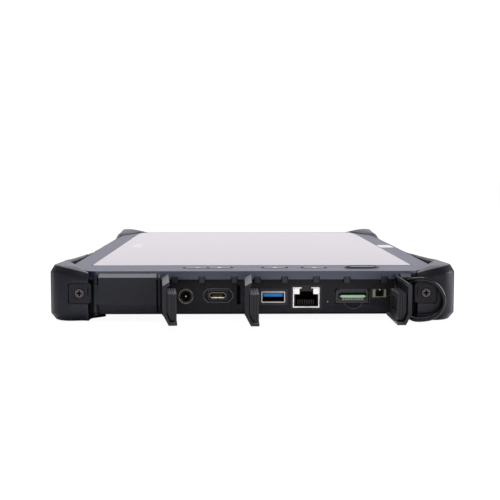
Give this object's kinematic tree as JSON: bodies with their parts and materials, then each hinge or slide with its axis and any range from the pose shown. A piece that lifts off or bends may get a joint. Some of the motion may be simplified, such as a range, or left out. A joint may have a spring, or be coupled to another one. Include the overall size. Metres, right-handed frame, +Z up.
{
  "type": "data collector",
  "caption": "Fully rugged field data collector: a slate tablet on corner bumpers, with hinged port doors, bezel keys, a port bay and a stylus tether loop.",
  "frame": {"origin": "centre of the whole object's box, on the surface that it lies on", "axes": "+X to the user's right, +Y from the port side to the far side, +Z up out of the screen"},
  "size_m": [0.2256, 0.3774, 0.0311],
  "materials": {
    "audio_jack": "satin",
    "battery_latch_left": "matte",
    "battery_latch_right": "matte",
    "battery_pack": "matte",
    "bumper_far_left": "matte, finely textured",
    "bumper_far_right": "matte, finely textured",
    "bumper_near_left": "matte, finely textured",
    "bumper_near_right": "matte, finely textured",
    "card_door_pin": "plain",
    "card_door_seal": "matte",
    "card_door_shell": "matte",
    "card_socket": "matte",
    "cover_glass": "glossy",
    "dc_jack": "dull metal",
    "display_gasket": "matte",
    "dock_connector": "matte",
    "end_door_pin": "plain",
    "end_door_seal": "matte",
    "end_door_shell": "matte",
    "front_bezel": "satin mid grey with a blue tint",
    "front_camera_window": "glossy pale window",
    "function_key_left": "satin",
    "function_key_right": "satin",
    "heat_spreader": "copper, satin",
    "io_board": "solder-mask green",
    "lcd_module": "satin",
    "mainboard": "solder-mask green",
    "memory_card": "green edge",
    "mid_frame": "satin",
    "network_door_pin": "plain",
    "network_door_seal": "matte",
    "network_door_shell": "matte",
    "power_button": "glossy light metal",
    "power_door_pin": "plain",
    "power_door_seal": "matte",
    "power_door_shell": "matte",
    "power_ring": "gloss black",
    "rear_camera_module": "matte",
    "rear_camera_window": "glossy",
    "rear_housing": "matte black reinforced plastic",
    "reset_button": "matte",
    "retainer_far_left": "matte",
    "retainer_far_right": "matte",
    "retainer_near_left": "matte",
    "retainer_near_right": "matte",
    "rj45_insert": "matte",
    "rj45_shield": "pale nickel",
    "screw_far_left": "dark plated",
    "screw_far_right": "dark plated",
    "screw_near_left": "dark plated",
    "screw_near_right": "dark plated",
    "side_grip_left": "matte, finely textured",
    "side_grip_right": "matte, finely textured",
    "speaker": "matte",
    "tether_loop": "glossy black cord",
    "usb_a_shell": "nickel",
    "usb_a_tongue": "blue",
    "usb_c_port": "pale gold",
    "volume_down_key": "satin",
    "volume_up_key": "satin"
  },
  "bodies": {
    "case": {"audio_jack": "audio_jack", "battery_pack": "battery_pack", "bumper_far_left": "bumper_far_left", "bumper_far_right": "bumper_far_right", "bumper_near_left": "bumper_near_left", "bumper_near_right": "bumper_near_right", "card_door_pin": "card_door_pin", "card_socket": "card_socket", "cover_glass": "cover_glass", "dc_jack": "dc_jack", "display_gasket": "display_gasket", "dock_connector": "dock_connector", "end_door_pin": "end_door_pin", "front_bezel": "front_bezel", "front_camera_window": "front_camera_window", "heat_spreader": "heat_spreader", "io_board": "io_board", "lcd_module": "lcd_module", "mainboard": "mainboard", "memory_card": "memory_card", "mid_frame": "mid_frame", "network_door_pin": "network_door_pin", "power_door_pin": "power_door_pin", "power_ring": "power_ring", "rear_camera_module": "rear_camera_module", "rear_camera_window": "rear_camera_window", "rear_housing": "rear_housing", "retainer_far_left": "retainer_far_left", "retainer_far_right": "retainer_far_right", "retainer_near_left": "retainer_near_left", "retainer_near_right": "retainer_near_right", "rj45_insert": "rj45_insert", "rj45_shield": "rj45_shield", "screw_far_left": "screw_far_left", "screw_far_right": "screw_far_right", "screw_near_left": "screw_near_left", "screw_near_right": "screw_near_right", "side_grip_left": "side_grip_left", "side_grip_right": "side_grip_right", "speaker": "speaker", "tether_loop": "tether_loop", "usb_a_shell": "usb_a_shell", "usb_a_tongue": "usb_a_tongue", "usb_c_port": "usb_c_port"},
    "power_door": {"power_door_shell": "power_door_shell", "power_door_seal": "power_door_seal"},
    "network_door": {"network_door_shell": "network_door_shell", "network_door_seal": "network_door_seal"},
    "card_door": {"card_door_shell": "card_door_shell", "card_door_seal": "card_door_seal"},
    "end_door": {"end_door_shell": "end_door_shell", "end_door_seal": "end_door_seal"},
    "volume_down_key_body": {"volume_down_key": "volume_down_key"},
    "volume_up_key_body": {"volume_up_key": "volume_up_key"},
    "function_key_left_body": {"function_key_left": "function_key_left"},
    "function_key_right_body": {"function_key_right": "function_key_right"},
    "power_button_body": {"power_button": "power_button"},
    "reset_body": {"reset_button": "reset_button"},
    "latch_left": {"battery_latch_left": "battery_latch_left"},
    "latch_right": {"battery_latch_right": "battery_latch_right"}
  },
  "joints": [
    {"name": "power_door_hinge", "type": "hinge", "parent": "case", "child": "power_door", "pos_m": [-0.0493, -0.14655, 0.0125], "axis": [0, 0, -1], "range_deg": [-85, 10]},
    {"name": "network_door_hinge", "type": "hinge", "parent": "case", "child": "network_door", "pos_m": [-0.0033, -0.14655, 0.0125], "axis": [0, 0, -1], "range_deg": [-90, 10]},
    {"name": "card_door_hinge", "type": "hinge", "parent": "case", "child": "card_door", "pos_m": [0.0803, -0.14655, 0.0125], "axis": [0, 0, 1], "range_deg": [-90, 5]},
    {"name": "end_door_hinge", "type": "hinge", "parent": "case", "child": "end_door", "pos_m": [-0.0875, -0.14655, 0.0125], "axis": [0, 0, -1], "range_deg": [0, 95]},
    {"name": "volume_down_press", "type": "slide", "parent": "case", "child": "volume_down_key_body", "axis": [0, 0, -1], "range_m": [0, 0.0006], "stiffness_N_per_m": 1500},
    {"name": "volume_up_press", "type": "slide", "parent": "case", "child": "volume_up_key_body", "axis": [0, 0, -1], "range_m": [0, 0.0006], "stiffness_N_per_m": 1500},
    {"name": "function_left_press", "type": "slide", "parent": "case", "child": "function_key_left_body", "axis": [0, 0, -1], "range_m": [0, 0.0006], "stiffness_N_per_m": 1500},
    {"name": "function_right_press", "type": "slide", "parent": "case", "child": "function_key_right_body", "axis": [0, 0, -1], "range_m": [0, 0.0006], "stiffness_N_per_m": 1500},
    {"name": "power_press", "type": "slide", "parent": "case", "child": "power_button_body", "axis": [0, 0, -1], "range_m": [0, 0.0006], "stiffness_N_per_m": 1500},
    {"name": "reset_press", "type": "slide", "parent": "case", "child": "reset_body", "axis": [0, 1, 0], "range_m": [0, 0.0004], "stiffness_N_per_m": 1500},
    {"name": "battery_latch_left_slide", "type": "slide", "parent": "case", "child": "latch_left", "axis": [-1, 0, 0], "range_m": [0, 0.004]},
    {"name": "battery_latch_right_slide", "type": "slide", "parent": "case", "child": "latch_right", "axis": [1, 0, 0], "range_m": [0, 0.004]}
  ]
}
